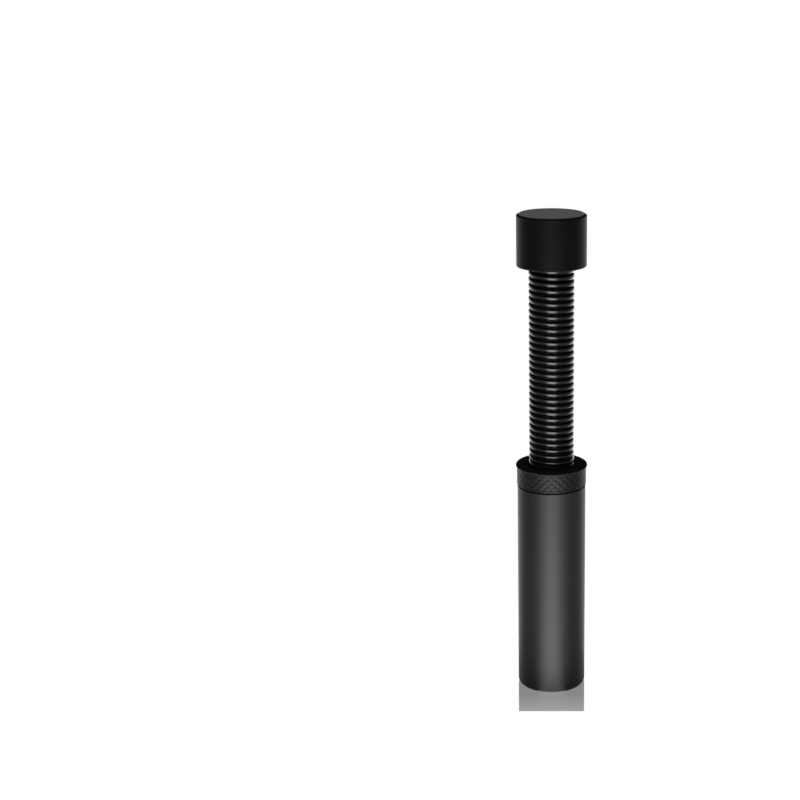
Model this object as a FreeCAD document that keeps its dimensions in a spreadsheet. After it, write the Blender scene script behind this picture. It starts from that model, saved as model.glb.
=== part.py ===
"""Graphics card support bracket: a small screw jack that stands under the free edge of a card.

A knurled ring turns on the rim of a turned tube and drives a threaded rod up or down through itself. The rod
carries a plain head with a soft pad. A magnet and a non-slip pad sit in the underside of the tube.

Millimetres, +Z up. The origin is the centre of the face that the support stands on.
"""

import FreeCAD, Part
import math
import os

import Sketcher
from FreeCAD import Vector

doc = FreeCAD.newDocument("CardSupport")

# Driving dimensions

SIZES = {
    # the rod and its thread
    "rod_diameter": 10.6,
    "thread_pitch": 1.5,
    "thread_depth": 0.45,
    "thread_crest": 0.3,
    "thread_start": 1.32,
    "exposed_thread": 47.0,
    "closed_gap": 0.1,
    "foot_clearance": 0.3,
    "rod_chamfer": 0.8,
    "blank_margin": 0.5,
    "neck_step": 0.3,
    "neck_length": 8.0,
    "neck_chamfer": 0.3,
    "neck_clearance": 0.02,
    # the adjusting ring
    "thread_clearance": 0.12,
    "root_clearance": 0.2,
    "ring_overhang": 0.15,
    "ring_height": 4.7,
    "ring_lip": 0.3,
    "rim_overhang": 0.2,
    "rim_taper": 0.25,
    "ring_chamfer": 0.12,
    "ring_lead_in": 0.6,
    "spigot_wall": 1.03,
    "spigot_length": 4.0,
    "spigot_chamfer": 0.3,
    "running_clearance": 0.05,
    # the knurling on the ring
    "knurl_columns": 30.0,
    "knurl_rows": 2.5,
    "knurl_depth": 0.3,
    "knurl_inset": 0.05,
    "knurl_backing": 0.3,
    # the wire ring that holds the adjusting ring down
    "snap_wire": 0.7,
    "snap_gap": 3.0,
    "snap_drop": 2.0,
    "snap_clearance": 0.1,
    # the washer between tube and ring
    "washer_inset": 0.4,
    "washer_thickness": 0.3,
    # the tube
    "tube_wall": 1.5,
    "tube_height": 50.5,
    "tube_web": 0.8,
    "tube_edge_radius": 0.7,
    "rim_chamfer": 0.15,
    "bore_chamfer": 0.3,
    # the foot
    "foot_rim_flat": 0.1,
    "foot_pad_thickness": 0.7,
    "foot_pad_proud": 0.2,
    "magnet_inset": 1.1,
    "magnet_thickness": 2.0,
    "magnet_chamfer": 0.2,
    "recess_clearance": 0.1,
    # the head
    "head_height": 11.7,
    "head_edge_radius": 0.3,
    "head_rim_flat": 0.25,
    "head_chamfer": 0.15,
    "socket_room": 0.4,
    "head_pad_thickness": 1.2,
    "head_pad_proud": 0.3,
    "head_pad_edge": 0.2,
    "pad_clearance": 0.05,
}

sheet = doc.addObject("Spreadsheet::Sheet", "Sizes")
for row, (alias, value) in enumerate(SIZES.items(), start=1):
    sheet.set(f"A{row}", alias.replace("_", " "))
    sheet.set(f"B{row}", str(value))
    sheet.setAlias(f"B{row}", alias)
doc.recompute()


def s(alias):
    """The name of a size, as the expressions below write it."""
    return f"Sizes.{alias}"


def value_of(expression):
    """The number that an expression of sizes has now."""
    result = sheet.evalExpression(expression)
    return float(getattr(result, "Value", result))


# Heights above the surface that the support stands on, and the radii from the rod outwards

FOOT_TOP = s("foot_pad_thickness")
TUBE_BOTTOM = s("foot_pad_proud")
MAGNET_TOP = f"({FOOT_TOP} + {s('magnet_thickness')})"
BORE_FLOOR = f"({MAGNET_TOP} + {s('tube_web')})"
TUBE_TOP = s("tube_height")
RING_SEAT = f"({TUBE_TOP} + {s('washer_thickness')})"
RING_TOP = f"({RING_SEAT} + {s('ring_height')})"
SPIGOT_END = f"({TUBE_TOP} - {s('spigot_length')})"
SNAP_LEVEL = f"({TUBE_TOP} - {s('snap_drop')})"
HEAD_SEAT = f"({RING_TOP} + {s('exposed_thread')})"
TRAVEL = f"({s('exposed_thread')} - {s('closed_gap')})"
ROD_FOOT = f"({BORE_FLOOR} + {s('foot_clearance')} + {TRAVEL})"
HEAD_TOP = f"({HEAD_SEAT} + {s('head_height')})"
HEAD_RECESS = f"({HEAD_TOP} + {s('head_pad_proud')} - {s('head_pad_thickness')})"

ROD_RADIUS = f"{s('rod_diameter')} / 2"
ROOT_RADIUS = f"({ROD_RADIUS} - {s('thread_depth')})"
NECK_RADIUS = f"({ROOT_RADIUS} - {s('neck_step')})"
MINOR_RADIUS = f"({ROOT_RADIUS} + {s('root_clearance')})"
SPIGOT_RADIUS = f"({ROD_RADIUS} + {s('thread_clearance')} + {s('spigot_wall')})"
BORE_RADIUS = f"({SPIGOT_RADIUS} + {s('running_clearance')})"
TUBE_RADIUS = f"({BORE_RADIUS} + {s('tube_wall')})"
HEAD_RADIUS = TUBE_RADIUS
RING_RADIUS = f"({TUBE_RADIUS} + {s('ring_overhang')})"
RIM_RADIUS = f"({RING_RADIUS} + {s('rim_overhang')})"
KNURL_TOP = f"({RING_TOP} - {s('ring_lip')} - {s('rim_taper')})"
KNURL_TIP = f"({RING_RADIUS} - {s('knurl_inset')})"
KNURL_SEAT = f"({KNURL_TIP} - {s('knurl_depth')} - {s('knurl_backing')})"
WASHER_RADIUS = f"({TUBE_RADIUS} - {s('washer_inset')})"
FOOT_RECESS = f"({TUBE_RADIUS} - {s('tube_edge_radius')} - {s('foot_rim_flat')})"
FOOT_PAD_RADIUS = f"({FOOT_RECESS} - {s('recess_clearance')})"
MAGNET_RADIUS = f"({FOOT_PAD_RADIUS} - {s('magnet_inset')})"
HEAD_RECESS_RADIUS = f"({HEAD_RADIUS} - {s('head_edge_radius')} - {s('head_rim_flat')})"
HEAD_PAD_RADIUS = f"({HEAD_RECESS_RADIUS} - {s('pad_clearance')})"
SNAP_HALF = f"({s('snap_wire')} / 2 + {s('snap_clearance')})"
SNAP_TOP = f"({SNAP_LEVEL} + {SNAP_HALF})"
SNAP_BOTTOM = f"({SNAP_LEVEL} - {SNAP_HALF})"

# Pieces turned about the Z axis


def origin_plane(body, role):
    """One of a body's own origin planes."""
    return next(f for f in body.Origin.OriginFeatures if f.Role == role)


def turned(name, outline):
    """A body turned from a closed outline of (radius, height) corners, each an expression of sizes."""
    body = doc.addObject("PartDesign::Body", name)
    sketch = body.newObject("Sketcher::SketchObject", f"{name}_outline")
    sketch.AttachmentSupport = [(origin_plane(body, "XZ_Plane"), "")]
    sketch.MapMode = "FlatFace"
    corners = [Vector(value_of(x), value_of(z), 0) for x, z in outline]
    for start, end in zip(corners, corners[1:] + corners[:1]):
        sketch.addGeometry(Part.LineSegment(start, end))
    for line, (x, z) in enumerate(outline):
        before = (line - 1) % len(outline)
        sketch.addConstraint(Sketcher.Constraint("Coincident", before, 2, line, 1))
        place_corner(sketch, line, "DistanceX", x, corners[line].x, -2)
        place_corner(sketch, line, "DistanceY", z, corners[line].y, -1)
    revolution = body.newObject("PartDesign::Revolution", f"{name}_turned")
    revolution.Profile = sketch
    revolution.ReferenceAxis = (sketch, ["V_Axis"])
    revolution.Angle = 360.0
    doc.recompute()
    return body


def place_corner(sketch, line, kind, expression, now, axis):
    """Ties one coordinate of a line's start to an expression, or puts the start on the axis."""
    if expression == "0":
        sketch.addConstraint(Sketcher.Constraint("PointOnObject", line, 1, axis))
        return
    index = sketch.addConstraint(Sketcher.Constraint(kind, -1, 1, line, 1, now))
    sketch.setExpression(f"Constraints[{index}]", expression)


def circles_at(shape, radius, height):
    """The names of a shape's circular edges of this radius at this height."""
    names = []
    for number, edge in enumerate(shape.Edges, start=1):
        curve = edge.Curve
        if not isinstance(curve, Part.Circle):
            continue
        if abs(curve.Radius - radius) < 1e-6 and abs(curve.Center.z - height) < 1e-6:
            names.append(f"Edge{number}")
    return names


def round_edge(body, radius, height, rounding):
    """Rounds a turned body's edge at (radius, height), all three expressions of sizes."""
    base = body.Tip
    edges = circles_at(base.Shape, value_of(radius), value_of(height))
    fillet = body.newObject("PartDesign::Fillet", f"{body.Name}_rounding")
    fillet.Base = (base, edges)
    fillet.setExpression("Radius", rounding)
    doc.recompute()


# The tube: a cup with a blind bore for the rod, a groove for the snap ring, and recesses for magnet and pad

MAGNET_RECESS = f"({MAGNET_RADIUS} + {s('recess_clearance')})"
GROOVE_RADIUS = f"({BORE_RADIUS} + {SNAP_HALF})"

base_tube = turned(
    "base_tube",
    [
        ("0", MAGNET_TOP),
        (MAGNET_RECESS, MAGNET_TOP),
        (MAGNET_RECESS, FOOT_TOP),
        (FOOT_RECESS, FOOT_TOP),
        (FOOT_RECESS, TUBE_BOTTOM),
        (TUBE_RADIUS, TUBE_BOTTOM),
        (TUBE_RADIUS, f"{TUBE_TOP} - {s('rim_chamfer')}"),
        (f"{TUBE_RADIUS} - {s('rim_chamfer')}", TUBE_TOP),
        (f"{BORE_RADIUS} + {s('bore_chamfer')}", TUBE_TOP),
        (BORE_RADIUS, f"{TUBE_TOP} - {s('bore_chamfer')}"),
        (BORE_RADIUS, SNAP_TOP),
        (GROOVE_RADIUS, SNAP_TOP),
        (GROOVE_RADIUS, SNAP_BOTTOM),
        (BORE_RADIUS, SNAP_BOTTOM),
        (BORE_RADIUS, BORE_FLOOR),
        ("0", BORE_FLOOR),
    ],
)
round_edge(base_tube, TUBE_RADIUS, TUBE_BOTTOM, s("tube_edge_radius"))

# The foot: a non-slip pad that the support stands on, with the magnet above it

foot_pad = turned(
    "foot_pad",
    [
        ("0", "0"),
        (FOOT_PAD_RADIUS, "0"),
        (FOOT_PAD_RADIUS, FOOT_TOP),
        ("0", FOOT_TOP),
    ],
)
base_magnet = turned(
    "base_magnet",
    [
        ("0", FOOT_TOP),
        (f"{MAGNET_RADIUS} - {s('magnet_chamfer')}", FOOT_TOP),
        (MAGNET_RADIUS, f"{FOOT_TOP} + {s('magnet_chamfer')}"),
        (MAGNET_RADIUS, f"{MAGNET_TOP} - {s('magnet_chamfer')}"),
        (f"{MAGNET_RADIUS} - {s('magnet_chamfer')}", MAGNET_TOP),
        ("0", MAGNET_TOP),
    ],
)

# The washer that the ring turns on

slide_washer = turned(
    "slide_washer",
    [
        (f"{BORE_RADIUS} + {s('bore_chamfer')}", TUBE_TOP),
        (WASHER_RADIUS, TUBE_TOP),
        (WASHER_RADIUS, RING_SEAT),
        (f"{BORE_RADIUS} + {s('bore_chamfer')}", RING_SEAT),
    ],
)

# The snap ring: round wire, open at the back, half in the tube's groove and half in the spigot's

snap_ring = doc.addObject("Part::Torus", "snap_ring")
snap_ring.setExpression("Radius1", BORE_RADIUS)
snap_ring.setExpression("Radius2", f"{s('snap_wire')} / 2")
snap_ring.setExpression("Angle3", f"360 - {s('snap_gap')} / ({BORE_RADIUS}) * 180 / pi")
snap_ring.setExpression("Placement.Base.z", SNAP_LEVEL)
doc.recompute()

# The screw thread, as a helical form that the rod keeps and the ring has cut away

HAND = -1  # the ridges fall to the right as seen from the front: a left-hand thread
HELIX_SPANS = 12


def helix(radius, start):
    """One turn of the thread's helix, as a curve through points that lie on it, with its true tangents."""
    pitch = value_of(s("thread_pitch"))
    angles = [2 * math.pi * step / HELIX_SPANS for step in range(HELIX_SPANS + 1)]
    curve = Part.BSplineCurve()
    curve.interpolate(
        Points=[
            Vector(radius * math.cos(a), HAND * radius * math.sin(a), start + pitch * a / (2 * math.pi))
            for a in angles
        ],
        Parameters=angles,
        Tangents=[
            Vector(-radius * math.sin(a), HAND * radius * math.cos(a), pitch / (2 * math.pi))
            for a in angles
        ],
        TangentFlags=[True] * len(angles),
        Scale=False,
    )
    return curve.toShape()


def screw_form(crest_radius, crest_width, root_radius, bottom, top):
    """A solid screw that covers the heights from bottom to top. A crest is centred on the thread's start."""
    pitch = value_of(s("thread_pitch"))
    offset = value_of(s("thread_start"))
    first = math.floor((bottom - offset) / pitch) - 1
    last = math.ceil((top - offset) / pitch) + 1
    faces = []
    for turn in range(first, last):
        level = offset + turn * pitch
        lower_crest = helix(crest_radius, level - crest_width / 2)
        upper_crest = helix(crest_radius, level + crest_width / 2)
        root = helix(root_radius, level + pitch / 2)
        next_crest = helix(crest_radius, level + pitch - crest_width / 2)
        faces.append(Part.makeRuledSurface(lower_crest, upper_crest))
        faces.append(Part.makeRuledSurface(upper_crest, root))
        faces.append(Part.makeRuledSurface(root, next_crest))
    for turn in (first, last):
        level = offset + turn * pitch - crest_width / 2
        axis = Part.makeLine(Vector(0, 0, level), Vector(0, 0, level + pitch))
        faces.append(Part.makeRuledSurface(axis, helix(crest_radius, level)))
        corners = [
            Vector(0, 0, level),
            Vector(crest_radius, 0, level),
            Vector(crest_radius, 0, level + crest_width),
            Vector(root_radius, 0, level + (crest_width + pitch) / 2),
            Vector(crest_radius, 0, level + pitch),
            Vector(0, 0, level + pitch),
        ]
        faces.append(Part.Face(Part.makePolygon(corners + corners[:1])))
    shell = Part.makeShell([part for face in faces for part in face.Faces])
    shell.sewShape()
    return Part.makeSolid(shell)


def code_shape(name, shape):
    """A document object that holds a shape made in code."""
    feature = doc.addObject("Part::Feature", name)
    feature.Shape = shape
    return feature


# The rod: the thread's form, kept inside an outline with a chamfered foot and a plain neck for the head

BLANK_RADIUS = f"({ROD_RADIUS} + {s('blank_margin')})"

rod_blank = turned(
    "rod_blank",
    [
        ("0", ROD_FOOT),
        (f"{ROD_RADIUS} - {s('rod_chamfer')}", ROD_FOOT),
        (BLANK_RADIUS, f"{ROD_FOOT} + {s('rod_chamfer')} + {s('blank_margin')}"),
        (BLANK_RADIUS, HEAD_SEAT),
        (NECK_RADIUS, HEAD_SEAT),
        (NECK_RADIUS, f"{HEAD_SEAT} + {s('neck_length')} - {s('neck_chamfer')}"),
        (f"{NECK_RADIUS} - {s('neck_chamfer')}", f"{HEAD_SEAT} + {s('neck_length')}"),
        ("0", f"{HEAD_SEAT} + {s('neck_length')}"),
    ],
)

rod_radius = value_of(ROD_RADIUS)
root_radius = value_of(ROOT_RADIUS)
crest = value_of(s("thread_crest"))
rod_thread = code_shape(
    "rod_thread",
    screw_form(
        rod_radius,
        crest,
        root_radius,
        value_of(ROD_FOOT),
        value_of(f"{HEAD_SEAT} + {s('neck_length')}"),
    ),
)
threaded_rod = doc.addObject("Part::Common", "threaded_rod")
threaded_rod.Base = rod_blank
threaded_rod.Tool = rod_thread
threaded_rod.Refine = False

# The adjusting ring: turned blank with lips, spigot and snap ring groove

SPIGOT_GROOVE = f"({BORE_RADIUS} - {SNAP_HALF} - {s('snap_clearance')})"

ring_blank = turned(
    "ring_blank",
    [
        (f"{MINOR_RADIUS} + {s('ring_lead_in')}", SPIGOT_END),
        (f"{SPIGOT_RADIUS} - {s('spigot_chamfer')}", SPIGOT_END),
        (SPIGOT_RADIUS, f"{SPIGOT_END} + {s('spigot_chamfer')}"),
        (SPIGOT_RADIUS, SNAP_BOTTOM),
        (SPIGOT_GROOVE, SNAP_BOTTOM),
        (SPIGOT_GROOVE, SNAP_TOP),
        (SPIGOT_RADIUS, SNAP_TOP),
        (SPIGOT_RADIUS, RING_SEAT),
        (f"{RING_RADIUS} - {s('ring_chamfer')}", RING_SEAT),
        (RING_RADIUS, f"{RING_SEAT} + {s('ring_chamfer')}"),
        (RING_RADIUS, f"{RING_SEAT} + {s('ring_lip')}"),
        (KNURL_SEAT, f"{RING_SEAT} + {s('ring_lip')}"),
        (KNURL_SEAT, KNURL_TOP),
        (RING_RADIUS, KNURL_TOP),
        (RIM_RADIUS, f"{RING_TOP} - {s('ring_lip')}"),
        (RIM_RADIUS, f"{RING_TOP} - {s('ring_chamfer')}"),
        (f"{RIM_RADIUS} - {s('ring_chamfer')}", RING_TOP),
        (f"{MINOR_RADIUS} + {s('ring_lead_in')}", RING_TOP),
        (MINOR_RADIUS, f"{RING_TOP} - {s('ring_lead_in')}"),
        (MINOR_RADIUS, f"{SPIGOT_END} + {s('ring_lead_in')}"),
    ],
)


def knurl_band(tip_radius, depth, seat_radius, half_columns, half_rows, bottom, top):
    """A band of diamond knurling: columns of pyramids round it and rows of them up it.

    Points stand on a grid of half columns and half rows. Every other one is the tip of a pyramid, and the rest
    are where two grooves cross. Each square of the grid folds along the groove between its two low points.
    """

    def point(i, j):
        angle = 2 * math.pi * i / half_columns
        radius = tip_radius if (i + j) % 2 else tip_radius - depth
        height = bottom + (top - bottom) * j / half_rows
        return Vector(radius * math.cos(angle), radius * math.sin(angle), height)

    def facet(*corners):
        return Part.Face(Part.makePolygon([point(*c) for c in corners + corners[:1]]))

    faces = []
    for i in range(half_columns):
        for j in range(half_rows):
            a, b, c, d = (i, j), (i + 1, j), (i + 1, j + 1), (i, j + 1)
            if (i + j) % 2:
                a, b, c, d = b, c, d, a
            faces.append(facet(a, b, c))
            faces.append(facet(a, c, d))
    for j in (0, half_rows):
        faces.append(facet(*[(i, j) for i in range(half_columns)]))
    shell = Part.makeShell(faces)
    shell.sewShape()
    solid = Part.makeSolid(shell)
    return solid.cut(Part.makeCylinder(seat_radius, top - bottom, Vector(0, 0, bottom)))


ring_knurl = code_shape(
    "ring_knurl",
    knurl_band(
        value_of(KNURL_TIP),
        value_of(s("knurl_depth")),
        value_of(KNURL_SEAT),
        2 * round(value_of(s("knurl_columns"))),
        round(2 * value_of(s("knurl_rows"))),
        value_of(f"{RING_SEAT} + {s('ring_lip')}"),
        value_of(KNURL_TOP),
    ),
)
ring_knurled = doc.addObject("Part::MultiFuse", "ring_knurled")
ring_knurled.Shapes = [ring_blank, ring_knurl]

# The ring's thread is the rod's, grown by the same clearance on crest, flanks and root

clearance = value_of(s("thread_clearance"))
flank = math.atan2(value_of(s("thread_pitch")) / 2 - crest / 2, rod_radius - root_radius)
ring_thread = code_shape(
    "ring_thread",
    screw_form(
        rod_radius + clearance,
        crest + 2 * clearance * math.tan((math.pi / 2 - flank) / 2),
        root_radius + clearance / math.sin(flank),
        value_of(SPIGOT_END),
        value_of(RING_TOP),
    ),
)
adjusting_ring = doc.addObject("Part::Cut", "adjusting_ring")
adjusting_ring.Base = ring_knurled
adjusting_ring.Tool = ring_thread
adjusting_ring.Refine = False

# The head: a plain cylinder with a socket for the rod's neck and a shallow recess for the pad

SOCKET_RADIUS = f"({NECK_RADIUS} + {s('neck_clearance')})"
SOCKET_TOP = f"({HEAD_SEAT} + {s('neck_length')} + {s('socket_room')})"

head_cap = turned(
    "head_cap",
    [
        (SOCKET_RADIUS, HEAD_SEAT),
        (f"{HEAD_RADIUS} - {s('head_chamfer')}", HEAD_SEAT),
        (HEAD_RADIUS, f"{HEAD_SEAT} + {s('head_chamfer')}"),
        (HEAD_RADIUS, HEAD_TOP),
        (HEAD_RECESS_RADIUS, HEAD_TOP),
        (HEAD_RECESS_RADIUS, HEAD_RECESS),
        ("0", HEAD_RECESS),
        ("0", SOCKET_TOP),
        (SOCKET_RADIUS, SOCKET_TOP),
    ],
)
round_edge(head_cap, HEAD_RADIUS, HEAD_TOP, s("head_edge_radius"))

PAD_TOP = f"({HEAD_TOP} + {s('head_pad_proud')})"
head_pad = turned(
    "head_pad",
    [
        ("0", HEAD_RECESS),
        (HEAD_PAD_RADIUS, HEAD_RECESS),
        (HEAD_PAD_RADIUS, PAD_TOP),
        ("0", PAD_TOP),
    ],
)
round_edge(head_pad, HEAD_PAD_RADIUS, PAD_TOP, s("head_pad_edge"))

# Checks and export

PIECES = [
    base_tube,
    foot_pad,
    base_magnet,
    slide_washer,
    snap_ring,
    adjusting_ring,
    threaded_rod,
    head_cap,
    head_pad,
]
for piece in PIECES:
    piece.Label = piece.Name
doc.recompute()

for item in doc.Objects:
    if {"Invalid", "Error"} & set(item.State):
        raise RuntimeError(f"{item.Name} failed: {item.State}")
for piece in PIECES:
    if piece.Shape.isNull() or not piece.Shape.isValid() or len(piece.Shape.Solids) != 1:
        raise RuntimeError(f"{piece.Name} has no valid single solid")

os.makedirs("parts", exist_ok=True)
for piece in PIECES:
    piece.Shape.exportStep(f"parts/{piece.Label}.step")
    print(f"{piece.Label}: {piece.Shape.Volume:.1f} mm3")
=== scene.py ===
"""Dresses the graphics card support: its ring and rod are made anew, and every other piece gets its finish.

Metres, +Z up. The support stands on the floor at the origin and is round about the Z axis.
"""

import math

import bpy
import numpy as np
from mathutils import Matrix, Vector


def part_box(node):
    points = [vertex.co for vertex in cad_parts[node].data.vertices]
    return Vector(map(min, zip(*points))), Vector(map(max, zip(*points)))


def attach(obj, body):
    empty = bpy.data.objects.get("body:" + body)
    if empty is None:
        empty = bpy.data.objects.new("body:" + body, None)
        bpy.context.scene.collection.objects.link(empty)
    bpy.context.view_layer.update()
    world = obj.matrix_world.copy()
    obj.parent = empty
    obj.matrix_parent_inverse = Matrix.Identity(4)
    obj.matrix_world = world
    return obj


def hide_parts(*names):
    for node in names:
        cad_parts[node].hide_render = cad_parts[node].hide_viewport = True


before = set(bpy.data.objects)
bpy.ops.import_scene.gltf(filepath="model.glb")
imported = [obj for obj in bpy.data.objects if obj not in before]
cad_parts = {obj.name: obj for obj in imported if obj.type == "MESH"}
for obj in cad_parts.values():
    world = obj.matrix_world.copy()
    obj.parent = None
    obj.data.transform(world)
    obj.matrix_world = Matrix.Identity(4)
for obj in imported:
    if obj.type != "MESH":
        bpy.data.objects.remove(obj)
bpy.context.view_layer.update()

# The tube is the body of the support: aluminium bar, bored and turned, then blasted and anodised a satin
# dark grey. Its skin shows fine turning rings and a fine grain.

TUBE_GREY = (0.0235, 0.0235, 0.024, 1.0)
TUBE_GREY_DARK = (0.0175, 0.0175, 0.018, 1.0)
SPECKLE_DETAIL = 2.0
TURNING_DETAIL = 3.0
MASK_MIDDLE = 0.5
TURNED_BUMP = 0.5


def grain_group():
    """The skin of turned and blasted metal: a fine speckle with rings that run round the piece.

    Speckle is noise on the object's own coordinates. Rings are noise on the height alone. A mask mixes the
    two: it picks the colour between dark and light, moves the roughness about its middle, and is the height.
    """
    group = bpy.data.node_groups.new("turned_skin", "ShaderNodeTree")
    face = group.interface
    for name in ("Speckle Scale", "Ring Scale", "Ring Share", "Roughness Middle", "Roughness Spread"):
        face.new_socket(name, in_out="INPUT", socket_type="NodeSocketFloat")
    for name in ("Light", "Dark"):
        face.new_socket(name, in_out="INPUT", socket_type="NodeSocketColor")
    face.new_socket("Color", in_out="OUTPUT", socket_type="NodeSocketColor")
    face.new_socket("Roughness", in_out="OUTPUT", socket_type="NodeSocketFloat")
    face.new_socket("Height", in_out="OUTPUT", socket_type="NodeSocketFloat")
    nodes, links = group.nodes, group.links
    given = nodes.new("NodeGroupInput")
    out = nodes.new("NodeGroupOutput")
    place = nodes.new("ShaderNodeTexCoord")
    speckle = nodes.new("ShaderNodeTexNoise")
    speckle.inputs["Detail"].default_value = SPECKLE_DETAIL
    links.new(place.outputs["Object"], speckle.inputs["Vector"])
    links.new(given.outputs["Speckle Scale"], speckle.inputs["Scale"])
    split = nodes.new("ShaderNodeSeparateXYZ")
    links.new(place.outputs["Object"], split.inputs[0])
    rings = nodes.new("ShaderNodeTexNoise")
    rings.noise_dimensions = "1D"
    rings.inputs["Detail"].default_value = TURNING_DETAIL
    links.new(split.outputs["Z"], rings.inputs["W"])
    links.new(given.outputs["Ring Scale"], rings.inputs["Scale"])
    mask = nodes.new("ShaderNodeMix")
    links.new(given.outputs["Ring Share"], mask.inputs["Factor"])
    links.new(speckle.outputs["Fac"], mask.inputs["A"])
    links.new(rings.outputs["Fac"], mask.inputs["B"])
    tint = nodes.new("ShaderNodeMix")
    tint.data_type = "RGBA"
    links.new(mask.outputs["Result"], tint.inputs["Factor"])
    links.new(given.outputs["Dark"], tint.inputs["A"])
    links.new(given.outputs["Light"], tint.inputs["B"])
    centred = nodes.new("ShaderNodeMath")
    centred.operation = "SUBTRACT"
    links.new(mask.outputs["Result"], centred.inputs[0])
    centred.inputs[1].default_value = MASK_MIDDLE
    rough = nodes.new("ShaderNodeMath")
    rough.operation = "MULTIPLY_ADD"
    links.new(centred.outputs[0], rough.inputs[0])
    links.new(given.outputs["Roughness Spread"], rough.inputs[1])
    links.new(given.outputs["Roughness Middle"], rough.inputs[2])
    links.new(tint.outputs["Result"], out.inputs["Color"])
    links.new(rough.outputs[0], out.inputs["Roughness"])
    links.new(mask.outputs["Result"], out.inputs["Height"])
    return group


TURNED_SKIN = grain_group()


def turned_metal(
    name, light, dark, roughness, spread, ring_share, speckle, rings, depth, metallic=1.0, shine=0.5
):
    """A material of turned metal: the skin group colours it, roughens it and lifts a shallow bump."""
    material = bpy.data.materials.new(name)
    material.use_nodes = True
    nodes, links = material.node_tree.nodes, material.node_tree.links
    shader = nodes["Principled BSDF"]
    shader.inputs["Metallic"].default_value = metallic
    shader.inputs["Specular IOR Level"].default_value = shine
    skin = nodes.new("ShaderNodeGroup")
    skin.node_tree = TURNED_SKIN
    skin.inputs["Speckle Scale"].default_value = speckle
    skin.inputs["Ring Scale"].default_value = rings
    skin.inputs["Ring Share"].default_value = ring_share
    skin.inputs["Roughness Middle"].default_value = roughness
    skin.inputs["Roughness Spread"].default_value = spread
    skin.inputs["Light"].default_value = light
    skin.inputs["Dark"].default_value = dark
    bump = nodes.new("ShaderNodeBump")
    bump.inputs["Strength"].default_value = TURNED_BUMP
    bump.inputs["Distance"].default_value = depth
    links.new(skin.outputs["Color"], shader.inputs["Base Color"])
    links.new(skin.outputs["Roughness"], shader.inputs["Roughness"])
    links.new(skin.outputs["Height"], bump.inputs["Height"])
    links.new(bump.outputs["Normal"], shader.inputs["Normal"])
    return material


def finish_node(node, material):
    """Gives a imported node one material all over."""
    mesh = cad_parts[node].data
    mesh.materials.clear()
    mesh.materials.append(material)


finish_node(
    "base_tube",
    turned_metal(
        "tube_anodised",
        TUBE_GREY,
        TUBE_GREY_DARK,
        roughness=0.56,
        spread=0.08,
        ring_share=0.6,
        speckle=6000.0,
        rings=3000.0,
        depth=2e-6,
    ),
)

# The foot pad is a thin black rubber disc let into the underside of the tube. The support stands on it, and
# it keeps the metal from sliding on the floor.

RUBBER_BLACK = (0.02, 0.02, 0.02, 1.0)
RUBBER_WORN = (0.035, 0.035, 0.035, 1.0)
RUBBER_SHINE = 0.3
RUBBER_SPREAD = 0.1
RUBBER_BUMP = 0.6
GRAIN_DETAIL = 4.0
GRAIN_FALL = 0.65


def rubber(name, light, dark, roughness, grain, depth):
    """A material of moulded rubber: a soft grain that tints it, roughens it and stands up as a low bump."""
    material = bpy.data.materials.new(name)
    material.use_nodes = True
    nodes, links = material.node_tree.nodes, material.node_tree.links
    shader = nodes["Principled BSDF"]
    shader.inputs["Specular IOR Level"].default_value = RUBBER_SHINE
    place = nodes.new("ShaderNodeTexCoord")
    noise = nodes.new("ShaderNodeTexNoise")
    noise.inputs["Scale"].default_value = grain
    noise.inputs["Detail"].default_value = GRAIN_DETAIL
    noise.inputs["Roughness"].default_value = GRAIN_FALL
    tint = nodes.new("ShaderNodeMix")
    tint.data_type = "RGBA"
    tint.inputs["A"].default_value = dark
    tint.inputs["B"].default_value = light
    rough = nodes.new("ShaderNodeMapRange")
    rough.inputs["To Min"].default_value = roughness - RUBBER_SPREAD
    rough.inputs["To Max"].default_value = roughness + RUBBER_SPREAD
    bump = nodes.new("ShaderNodeBump")
    bump.inputs["Strength"].default_value = RUBBER_BUMP
    bump.inputs["Distance"].default_value = depth
    links.new(place.outputs["Object"], noise.inputs["Vector"])
    links.new(noise.outputs["Fac"], tint.inputs["Factor"])
    links.new(noise.outputs["Fac"], rough.inputs["Value"])
    links.new(noise.outputs["Fac"], bump.inputs["Height"])
    links.new(tint.outputs["Result"], shader.inputs["Base Color"])
    links.new(rough.outputs["Result"], shader.inputs["Roughness"])
    links.new(bump.outputs["Normal"], shader.inputs["Normal"])
    return material


finish_node(
    "foot_pad",
    rubber("foot_rubber", RUBBER_WORN, RUBBER_BLACK, roughness=0.75, grain=3000.0, depth=2e-5),
)

# The magnet is a nickel-plated disc in a recess of the tube's underside, above the foot pad, which covers it.
# It holds the support to a steel floor.

NICKEL = (0.62, 0.6, 0.57, 1.0)
NICKEL_DULL = (0.5, 0.49, 0.47, 1.0)

finish_node(
    "base_magnet",
    turned_metal(
        "magnet_nickel",
        NICKEL,
        NICKEL_DULL,
        roughness=0.28,
        spread=0.1,
        ring_share=0.2,
        speckle=4000.0,
        rings=2000.0,
        depth=1e-6,
    ),
)

# The washer is a thin disc punched from black plastic, which the ring turns on. It lies on the rim of the
# tube and shows as the dark seam between ring and tube.

WASHER_BLACK = (0.012, 0.012, 0.012, 1.0)
WASHER_BLACK_DEEP = (0.006, 0.006, 0.006, 1.0)

finish_node(
    "slide_washer",
    rubber("washer_plastic", WASHER_BLACK, WASHER_BLACK_DEEP, roughness=0.6, grain=4000.0, depth=2e-6),
)

# The snap ring is bent from drawn spring wire. It lies between the tube's bore and the ring's spigot, where
# it can't be seen, and keeps the ring from lifting out.

WIRE_STEEL = (0.5, 0.5, 0.5, 1.0)
WIRE_STEEL_DULL = (0.38, 0.38, 0.39, 1.0)

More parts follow.
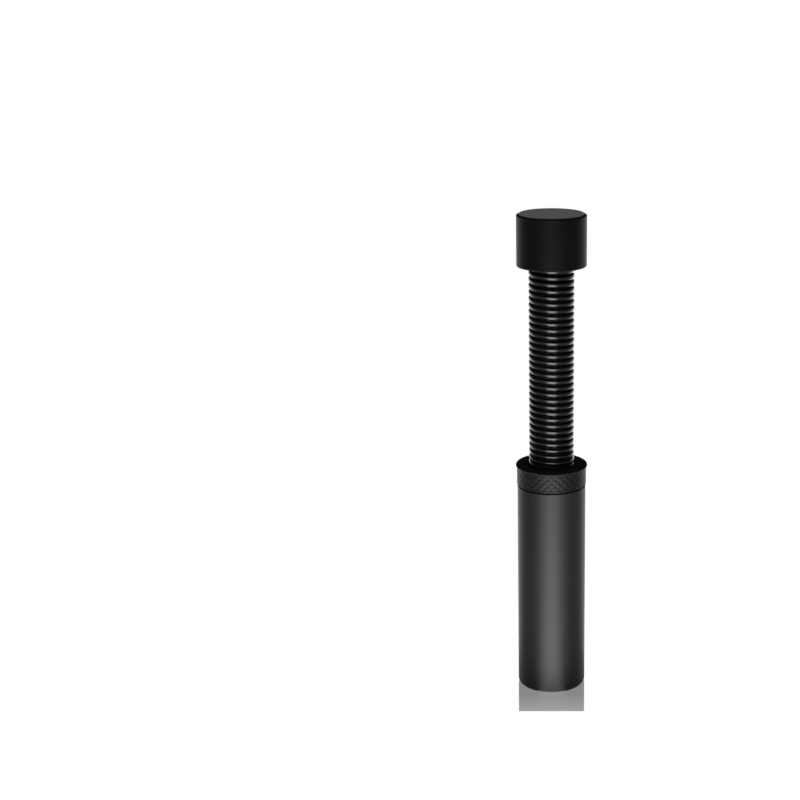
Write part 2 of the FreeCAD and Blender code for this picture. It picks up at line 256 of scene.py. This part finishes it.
finish_node(
    "snap_ring",
    turned_metal(
        "spring_wire",
        WIRE_STEEL,
        WIRE_STEEL_DULL,
        roughness=0.3,
        spread=0.1,
        ring_share=0.2,
        speckle=5000.0,
        rings=2000.0,
        depth=1e-6,
    ),
)

# The adjusting ring is turned from the same bar, with a rim that stands out over a band of diamond knurling.
# It is anodised with the tube, and its grey is painted darker than the tube's as painted shade of the
# knurling. Its rim and top face, and its bore above the seat, are painted near black as painted shade. Its
# spigot reaches down into the tube's bore. It is made anew here with finer and shallower knurling than the
# imported ring's, and a plain spigot.

# The ring's greys are the tube's anodised grey darkened: painted shade of the knurling.
RING_GREY_PAINTED_KNURL_SHADE = (0.0155, 0.0155, 0.0158, 1.0)
RING_GREY_DARK_PAINTED_KNURL_SHADE = (0.0115, 0.0115, 0.0117, 1.0)
# Painted shade: near black for the ring's rim, top face and bore above the seat.
RING_TOP_PAINTED_SHADE = (0.012, 0.012, 0.012, 1.0)
RING_TOP_PAINTED_SHADE_DEEP = (0.008, 0.008, 0.008, 1.0)
RING_COLUMNS = 240
RING_SHARP_ANGLE = math.radians(40)
RING_SPIGOT = 6.45e-3
SPIGOT_CHAMFER = 0.3e-3
RING_BODY = 8.15e-3
BODY_CHAMFER = 0.12e-3
RING_RIM = 8.35e-3
RIM_FLARE = 0.25e-3
RIM_EDGE_IN_AND_DOWN = ((0.0, 0.14e-3), (0.04e-3, 0.05e-3), (0.12e-3, 0.0))
KNURL_COLUMNS = 30
KNURL_HALF_CELLS = 5
KNURL_ROWS_A_HALF_CELL = 8
KNURL_TIP = 8.12e-3
KNURL_DEPTH = 0.09e-3
KNURL_BOTTOM = 0.2e-3
KNURL_TOP = 0.3e-3
KNURL_RUN_IN = 0.25
GROOVE_REACH = 0.55
RING_BORE = 5.05e-3
BORE_CHAMFER = 0.6e-3
BORE_INSET = 0.05e-3
BORE_ROWS_A_PITCH = 14
THREAD_PLAY = 0.12e-3
THREAD_CREST = 5.3e-3
THREAD_ROOT = 4.85e-3
THREAD_PITCH = 1.5e-3
THREAD_START = 1.26e-3
RIDGE_FULLNESS = 0.6

ring_low, ring_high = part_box("adjusting_ring")
ring_end = ring_low.z
ring_top = ring_high.z
ring_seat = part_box("slide_washer")[1].z


def thread_radius(height, angle):
    """The thread's radius: it swings between root and crest as a power of the cosine of half the phase.

    The phase is the height above the thread's start in pitches plus the share of a turn walked round the
    axis, which makes the ridges climb as a left-hand thread.
    """
    phase = (height - THREAD_START) / THREAD_PITCH + angle / (2 * math.pi)
    swing = np.abs(np.cos(math.pi * phase)) ** RIDGE_FULLNESS
    return THREAD_ROOT + (THREAD_CREST - THREAD_ROOT) * swing


def closed_skin(name, x, y, z):
    """A closed ring-shaped skin from a grid of points: rows walk round the section, columns round the axis.

    Each quad joins a point to the next column and the next row, with the last of both joined to the first.
    """
    rows, columns = x.shape
    points = np.stack([x, y, z], axis=-1).reshape(-1, 3)
    row, column = np.meshgrid(np.arange(rows), np.arange(columns), indexing="ij")
    next_row = (row + 1) % rows
    next_column = (column + 1) % columns
    here = row * columns + column
    beside = row * columns + next_column
    beside_above = next_row * columns + next_column
    above = next_row * columns + column
    quads = np.stack([here, beside, beside_above, above], axis=-1).reshape(-1, 4)
    mesh = bpy.data.meshes.new(name)
    mesh.from_pydata(points.tolist(), [], quads.tolist())
    mesh.validate()
    mesh.shade_smooth()
    return mesh


def knurled_ring(name, end, seat, top):
    """The ring's skin: a section of (radius, height) points turned round the axis, with knurling on its band.

    The section runs up the outside from the spigot's end, in over the top face and down the bore. The
    knurling is two sets of grooves that run up the band at opposite slopes. A groove's depth falls off evenly
    with the distance from its middle, in half cells, and the deeper set wins: flat diamonds stay between. The
    bore's radius is the thread's with some play, no less than the bore's own, and opens at 45 degrees at both
    mouths. The spigot has no groove for the snap ring.
    """
    knurl_rows = KNURL_ROWS_A_HALF_CELL * KNURL_HALF_CELLS + 1
    band = np.linspace(seat + KNURL_BOTTOM, top - KNURL_TOP, knurl_rows)
    flare = np.clip((band - (top - KNURL_TOP - RIM_FLARE)) / RIM_FLARE, 0.0, 1.0) * (RING_RIM - KNURL_TIP)
    bore_rows = int(round((top - end) / THREAD_PITCH * BORE_ROWS_A_PITCH))
    bore = np.linspace(top - BORE_INSET, end + BORE_INSET, bore_rows)
    below = [
        (RING_BORE + BORE_CHAMFER, end),
        (RING_SPIGOT - SPIGOT_CHAMFER, end),
        (RING_SPIGOT, end + SPIGOT_CHAMFER),
        (RING_SPIGOT, seat),
        (RING_BODY - BODY_CHAMFER, seat),
        (KNURL_TIP, seat + BODY_CHAMFER),
    ]
    knurled = list(zip(KNURL_TIP + flare, band))
    rim = [(RING_RIM - inward, top - down) for inward, down in RIM_EDGE_IN_AND_DOWN]
    mouth = [(RING_BORE + BORE_CHAMFER, top)]
    section = below + knurled + rim + mouth + [(RING_BORE, level) for level in bore]
    radius, height = np.array(section).T
    turn = np.linspace(0.0, 2 * math.pi, RING_COLUMNS, endpoint=False)
    radius, angle = np.meshgrid(radius, turn, indexing="ij")
    height = np.repeat(height[:, None], RING_COLUMNS, axis=1)

    across = angle / math.pi * KNURL_COLUMNS
    up = (height - band[0]) / (band[-1] - band[0]) * KNURL_HALF_CELLS
    rising = np.abs((across + up + 1.0) % 2.0 - 1.0)
    falling = np.abs((across - up + 1.0) % 2.0 - 1.0)
    groove = np.clip(1.0 - np.minimum(rising, falling) / GROOVE_REACH, 0.0, 1.0)
    run_in = np.minimum(np.minimum(up, KNURL_HALF_CELLS - up) / KNURL_RUN_IN, 1.0)
    on_band = slice(len(below), len(below) + len(band))
    radius[on_band] -= (run_in * KNURL_DEPTH * groove)[on_band]

    in_bore = slice(len(section) - len(bore), len(section))
    threaded = thread_radius(height[in_bore], angle[in_bore]) + THREAD_PLAY
    opening = RING_BORE + BORE_CHAMFER - np.minimum(top - height[in_bore], height[in_bore] - end)
    radius[in_bore] = np.maximum(np.maximum(threaded, RING_BORE), opening)
    return closed_skin(name, radius * np.cos(angle), radius * np.sin(angle), height)


def paint_top_shade(mesh, seat, top):
    """Gives the second material, a painted near-black shade, to the faces above the knurling, and to those of
    the bore above the seat.
    """
    centres = np.empty(len(mesh.polygons) * 3)
    mesh.polygons.foreach_get("center", centres)
    x, y, z = centres.reshape(-1, 3).T
    in_bore = np.hypot(x, y) < RING_SPIGOT
    black = (z > top - KNURL_TOP) | (in_bore & (z > seat))
    mesh.polygons.foreach_set("material_index", black.astype(np.int32))


ring = bpy.data.objects.new("ring_knurled", knurled_ring("ring_knurled", ring_end, ring_seat, ring_top))
ring.data.set_sharp_from_angle(angle=RING_SHARP_ANGLE)
bpy.context.scene.collection.objects.link(ring)
# The first material is the anodised grey, darkened as painted shade of the knurling.
ring.data.materials.append(
    turned_metal(
        "ring_anodised_knurl_shade",
        RING_GREY_PAINTED_KNURL_SHADE,
        RING_GREY_DARK_PAINTED_KNURL_SHADE,
        roughness=0.56,
        spread=0.1,
        ring_share=0.4,
        speckle=7000.0,
        rings=4000.0,
        depth=1.5e-6,
    )
)
# The second material is painted shade, near black, for the rim, the top face and the upper bore.
ring.data.materials.append(
    turned_metal(
        "ring_top_painted_shade",
        RING_TOP_PAINTED_SHADE,
        RING_TOP_PAINTED_SHADE_DEEP,
        roughness=0.8,
        spread=0.1,
        ring_share=0.4,
        speckle=7000.0,
        rings=4000.0,
        depth=1.5e-6,
        metallic=0.0,
        shine=0.0,
    )
)
paint_top_shade(ring.data, ring_seat, ring_top)
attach(ring, "ring")
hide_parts("adjusting_ring")

# The rod is aluminium with a rolled left-hand thread, so its ridges are rounded over, and a glossy black
# skin. Its plain neck is pressed into the head.

ROD_BLACK = (0.021, 0.021, 0.021, 1.0)
ROD_BLACK_DEEP = (0.017, 0.017, 0.017, 1.0)
ROD_COLUMNS = 96
ROWS_A_PITCH = 20
ROD_SHARP_ANGLE = math.radians(50)
FOOT_CHAMFER = 0.8e-3
NECK_RADIUS = 4.55e-3
NECK_CHAMFER = 0.3e-3

rod_low, rod_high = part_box("threaded_rod")
neck_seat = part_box("head_cap")[0].z


def closed_grid(name, x, y, z):
    """A closed skin from a grid of points, whose two ends are each closed by a fan to a point on the axis.

    Rows run up the axis and columns run round it. Quads join each point to the next column and the next row,
    with the last column joined to the first.
    """
    rows, columns = z.shape
    points = np.stack([x, y, z], axis=-1).reshape(-1, 3)
    ends = np.array([[0.0, 0.0, z[0].mean()], [0.0, 0.0, z[-1].mean()]])
    row, column = np.meshgrid(np.arange(rows - 1), np.arange(columns), indexing="ij")
    here = row * columns + column
    beside = row * columns + (column + 1) % columns
    quads = np.stack([here, beside, beside + columns, here + columns], axis=-1).reshape(-1, 4)
    around = np.arange(columns)
    after = (around + 1) % columns
    first, last = len(points), len(points) + 1
    under = np.stack([after, around, np.full(columns, first)], axis=-1)
    top_row = (rows - 1) * columns
    over = np.stack([top_row + around, top_row + after, np.full(columns, last)], axis=-1)
    faces = quads.tolist() + under.tolist() + over.tolist()
    mesh = bpy.data.meshes.new(name)
    mesh.from_pydata(np.vstack([points, ends]).tolist(), [], faces)
    mesh.validate()
    mesh.shade_smooth()
    return mesh


def threaded_skin(name, low, high, seat):
    """The rod's skin, from its foot at the height low to its thread's end at seat and its neck's end at high.

    Its radius is the thread's, trimmed at the foot by a cone at 45 degrees. Above the seat it is the neck's.
    """
    turns = (seat - low) / THREAD_PITCH
    thread_rows = np.linspace(low, seat, int(round(turns * ROWS_A_PITCH)) + 1)
    neck_rows = np.array([seat, high - NECK_CHAMFER, high])
    around = np.linspace(0.0, 2 * math.pi, ROD_COLUMNS, endpoint=False)
    thread_height, thread_angle = np.meshgrid(thread_rows, around, indexing="ij")
    cone = THREAD_CREST - FOOT_CHAMFER + (thread_height - low)
    thread = np.minimum(thread_radius(thread_height, thread_angle), cone)
    neck_height, neck_angle = np.meshgrid(neck_rows, around, indexing="ij")
    neck = np.full_like(neck_height, NECK_RADIUS)
    neck[-1] -= NECK_CHAMFER
    radius = np.vstack([thread, neck])
    height = np.vstack([thread_height, neck_height])
    angle = np.vstack([thread_angle, neck_angle])
    mesh = closed_grid(name, radius * np.cos(angle), radius * np.sin(angle), height)
    mesh.set_sharp_from_angle(angle=ROD_SHARP_ANGLE)
    return mesh


rod = bpy.data.objects.new("rod_thread", threaded_skin("rod_thread", rod_low.z, rod_high.z, neck_seat))
bpy.context.scene.collection.objects.link(rod)
rod.data.materials.append(
    turned_metal(
        "rod_black",
        ROD_BLACK,
        ROD_BLACK_DEEP,
        roughness=0.26,
        spread=0.06,
        ring_share=0.2,
        speckle=5000.0,
        rings=3000.0,
        depth=5e-7,
    )
)
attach(rod, "jack")
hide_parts("threaded_rod")

# The head is a plain turned cylinder of aluminium on the rod's neck. Its skin is matte, and its colour is
# painted near black, far darker than the tube's anodise, as painted shade from what rests on the head; so it
# is shaded as a coating with little shine and not as bare metal.

# The head's near black is the dark anodise darkened further: painted shade from what rests above it.
HEAD_DARK_WITH_PAINTED_SHADE = (0.0008, 0.0008, 0.0008, 1.0)
HEAD_DARK_WITH_PAINTED_SHADE_DEEP = (0.0005, 0.0005, 0.0005, 1.0)

finish_node(
    "head_cap",
    turned_metal(
        "head_dark_painted_shade",
        HEAD_DARK_WITH_PAINTED_SHADE,
        HEAD_DARK_WITH_PAINTED_SHADE_DEEP,
        roughness=0.5,
        spread=0.08,
        ring_share=0.5,
        speckle=6000.0,
        rings=3000.0,
        depth=1.5e-6,
        metallic=0.0,
        shine=0.06,
    ),
)

# The head pad is a soft disc cut from grey foam rubber and let into the top of the head, inside a thin rim.
# What the support holds up rests on it.

PAD_GREY = (0.2, 0.2, 0.2, 1.0)
PAD_GREY_DARK = (0.13, 0.13, 0.13, 1.0)

finish_node(
    "head_pad",
    rubber("pad_rubber", PAD_GREY, PAD_GREY_DARK, roughness=0.85, grain=2600.0, depth=4e-5),
)

# The floor is a pale light table. A square patch under the foot is polished and mirrors the tube. To the eye
# the table is one even white, and it shines on the piece brightest from a sector in front and from two
# weaker ones behind its sides.

FLOOR_HALF = 40.0
FLOOR_LIGHT = 0.85
FRONT_LIGHT = 13.5
FRONT_FULL = math.radians(19)
FRONT_END = math.radians(30)
SIDE_LIGHT = 1.6
SIDE_START = math.radians(105)
SIDE_FULL = math.radians(140)
SIDE_FADE = math.radians(160)
SIDE_END = math.radians(178)
SECTOR_REACH = 0.25
REACH_FADE = 0.2
POLISH_INNER = 0.008
POLISH_OUTER = 0.0168
POLISH_EDGE = 0.0002
MIRROR_INNER = 0.76
MIRROR_OUTER = 0.65


def mapped(nodes, links, value, low, high, start, end, smooth=True):
    """A map of value from the range low to high onto start to end, as a smooth or an even ramp."""
    ramp = nodes.new("ShaderNodeMapRange")
    ramp.interpolation_type = "SMOOTHSTEP" if smooth else "LINEAR"
    for name, number in (("From Min", low), ("From Max", high), ("To Min", start), ("To Max", end)):
        ramp.inputs[name].default_value = number
    links.new(value, ramp.inputs["Value"])
    return ramp.outputs["Result"]


def combined(nodes, links, operation, *values):
    """One Math node on one or two values, such as their sum or product, each a number or a socket."""
    node = nodes.new("ShaderNodeMath")
    node.operation = operation
    for socket, value in zip(node.inputs, values):
        if isinstance(value, float):
            socket.default_value = value
        else:
            links.new(value, socket)
    return node.outputs[0]


def floor_material():
    """The light table's skin: white to the eye, glowing in sectors on the piece, and a mirror near the foot.

    The glow is the table's own, plus the front sector's inside some degrees of straight ahead and short of
    its reach, plus the side sectors'. The mirror's share falls slowly from the foot to the edge of a square,
    and stops there.
    """
    material = bpy.data.materials.new("floor_pale")
    material.use_nodes = True
    nodes, links = material.node_tree.nodes, material.node_tree.links
    nodes.remove(nodes["Principled BSDF"])
    place = nodes.new("ShaderNodeTexCoord")
    split = nodes.new("ShaderNodeSeparateXYZ")
    links.new(place.outputs["Object"], split.inputs[0])
    x, y = split.outputs["X"], split.outputs["Y"]

    length = nodes.new("ShaderNodeVectorMath")
    length.operation = "LENGTH"
    links.new(place.outputs["Object"], length.inputs[0])
    ahead = combined(nodes, links, "MULTIPLY", y, -1.0)
    turn = combined(nodes, links, "ABSOLUTE", combined(nodes, links, "ARCTAN2", x, ahead))
    reach_start = (1.0 - REACH_FADE) * SECTOR_REACH
    reach_end = (1.0 + REACH_FADE) * SECTOR_REACH
    front = mapped(nodes, links, turn, FRONT_FULL, FRONT_END, FRONT_LIGHT, 0.0)
    near = mapped(nodes, links, length.outputs["Value"], reach_start, reach_end, 1.0, 0.0)
    side_in = mapped(nodes, links, turn, SIDE_START, SIDE_FULL, 0.0, SIDE_LIGHT)
    side_out = mapped(nodes, links, turn, SIDE_FADE, SIDE_END, 1.0, 0.0)
    front_glow = combined(nodes, links, "MULTIPLY", front, near)
    side_glow = combined(nodes, links, "MULTIPLY", side_in, side_out)
    glow = combined(nodes, links, "ADD", front_glow, side_glow)
    given = nodes.new("ShaderNodeEmission")
    links.new(combined(nodes, links, "ADD", glow, FLOOR_LIGHT), given.inputs["Strength"])
    seen = nodes.new("ShaderNodeEmission")
    path = nodes.new("ShaderNodeLightPath")
    pale = nodes.new("ShaderNodeMixShader")
    links.new(path.outputs["Is Camera Ray"], pale.inputs["Fac"])
    links.new(given.outputs[0], pale.inputs[1])
    links.new(seen.outputs[0], pale.inputs[2])

    aside = combined(nodes, links, "ABSOLUTE", x)
    along = combined(nodes, links, "ABSOLUTE", y)
    outward = combined(nodes, links, "MAXIMUM", aside, along)
    share = mapped(
        nodes, links, outward, POLISH_INNER, POLISH_OUTER, MIRROR_INNER, MIRROR_OUTER, smooth=False
    )
    patch = mapped(nodes, links, outward, POLISH_OUTER - POLISH_EDGE, POLISH_OUTER, 1.0, 0.0)
    gloss = nodes.new("ShaderNodeBsdfGlossy")
    gloss.inputs["Color"].default_value = (1.0, 1.0, 1.0, 1.0)
    gloss.inputs["Roughness"].default_value = 0.0
    mixed = nodes.new("ShaderNodeMixShader")
    links.new(combined(nodes, links, "MULTIPLY", share, patch), mixed.inputs["Fac"])
    links.new(pale.outputs[0], mixed.inputs[1])
    links.new(gloss.outputs[0], mixed.inputs[2])
    links.new(mixed.outputs[0], nodes["Material Output"].inputs["Surface"])
    material.cycles.emission_sampling = "NONE"
    return material


floor_corners = [
    (-FLOOR_HALF, -FLOOR_HALF, 0),
    (FLOOR_HALF, -FLOOR_HALF, 0),
    (FLOOR_HALF, FLOOR_HALF, 0),
    (-FLOOR_HALF, FLOOR_HALF, 0),
]
floor_mesh = bpy.data.meshes.new("floor")
floor_mesh.from_pydata(floor_corners, [], [(0, 1, 2, 3)])
floor = bpy.data.objects.new("floor", floor_mesh)
floor.data.materials.append(floor_material())
bpy.context.scene.collection.objects.link(floor)

# Studio light: the room over the table is dim under a brighter roof, and one soft panel hangs overhead. The
# eye and the polished patch see plain white in place of the room.

WALL_LIGHT = 0.05
ROOF_LIGHT = 0.5
ROOF_START = 0.6
ROOF_FULL = 0.95
PANEL_WATTS = 5.0
PANEL_SIZE = 1.0
PANEL_HEIGHT = 1.5


def surround():
    """The world: white to the eye and in the floor's polish, and to the piece dim walls under a roof."""
    world = bpy.data.worlds.new("studio")
    bpy.context.scene.world = world
    world.use_nodes = True
    nodes, links = world.node_tree.nodes, world.node_tree.links
    nodes.clear()
    place = nodes.new("ShaderNodeTexCoord")
    split = nodes.new("ShaderNodeSeparateXYZ")
    links.new(place.outputs["Generated"], split.inputs[0])
    strength = mapped(nodes, links, split.outputs["Z"], ROOF_START, ROOF_FULL, WALL_LIGHT, ROOF_LIGHT)
    light = nodes.new("ShaderNodeBackground")
    links.new(strength, light.inputs["Strength"])
    seen = nodes.new("ShaderNodeBackground")
    seen.inputs["Color"].default_value = (1.0, 1.0, 1.0, 1.0)
    path = nodes.new("ShaderNodeLightPath")
    to_eye, in_polish = path.outputs["Is Camera Ray"], path.outputs["Is Singular Ray"]
    mixed = nodes.new("ShaderNodeMixShader")
    links.new(combined(nodes, links, "MAXIMUM", to_eye, in_polish), mixed.inputs["Fac"])
    links.new(light.outputs[0], mixed.inputs[1])
    links.new(seen.outputs[0], mixed.inputs[2])
    out = nodes.new("ShaderNodeOutputWorld")
    links.new(mixed.outputs[0], out.inputs["Surface"])


surround()

lamp = bpy.data.lights.new("roof_panel", "AREA")
lamp.shape = "RECTANGLE"
lamp.size = PANEL_SIZE
lamp.size_y = PANEL_SIZE
lamp.energy = PANEL_WATTS
roof_panel = bpy.data.objects.new("roof_panel", lamp)
roof_panel.location = (0.0, 0.0, PANEL_HEIGHT)
roof_panel.visible_camera = False
bpy.context.scene.collection.objects.link(roof_panel)

# The camera stands where the photograph was taken from: a little above the head, looking down at the tube,
# with its picture shifted so that the support stands right of the middle.

CAMERA_DISTANCE = 0.339
CAMERA_HEIGHT = 0.1657
CAMERA_PITCH = 0.2726
CAMERA_LENS = 68.28
CAMERA_SENSOR = 36.0
CAMERA_SHIFT = -0.189375
CAMERA_NEAREST = 0.01

camera_data = bpy.data.cameras.new("camera")
camera_data.lens = CAMERA_LENS
camera_data.sensor_width = CAMERA_SENSOR
camera_data.shift_x = CAMERA_SHIFT
camera_data.clip_start = CAMERA_NEAREST
camera = bpy.data.objects.new("camera", camera_data)
camera.location = (0.0, -CAMERA_DISTANCE, CAMERA_HEIGHT)
camera.rotation_euler = (math.pi / 2 - CAMERA_PITCH, 0.0, 0.0)
bpy.context.scene.collection.objects.link(camera)
bpy.context.scene.camera = camera
bpy.context.scene.view_settings.view_transform = "Standard"
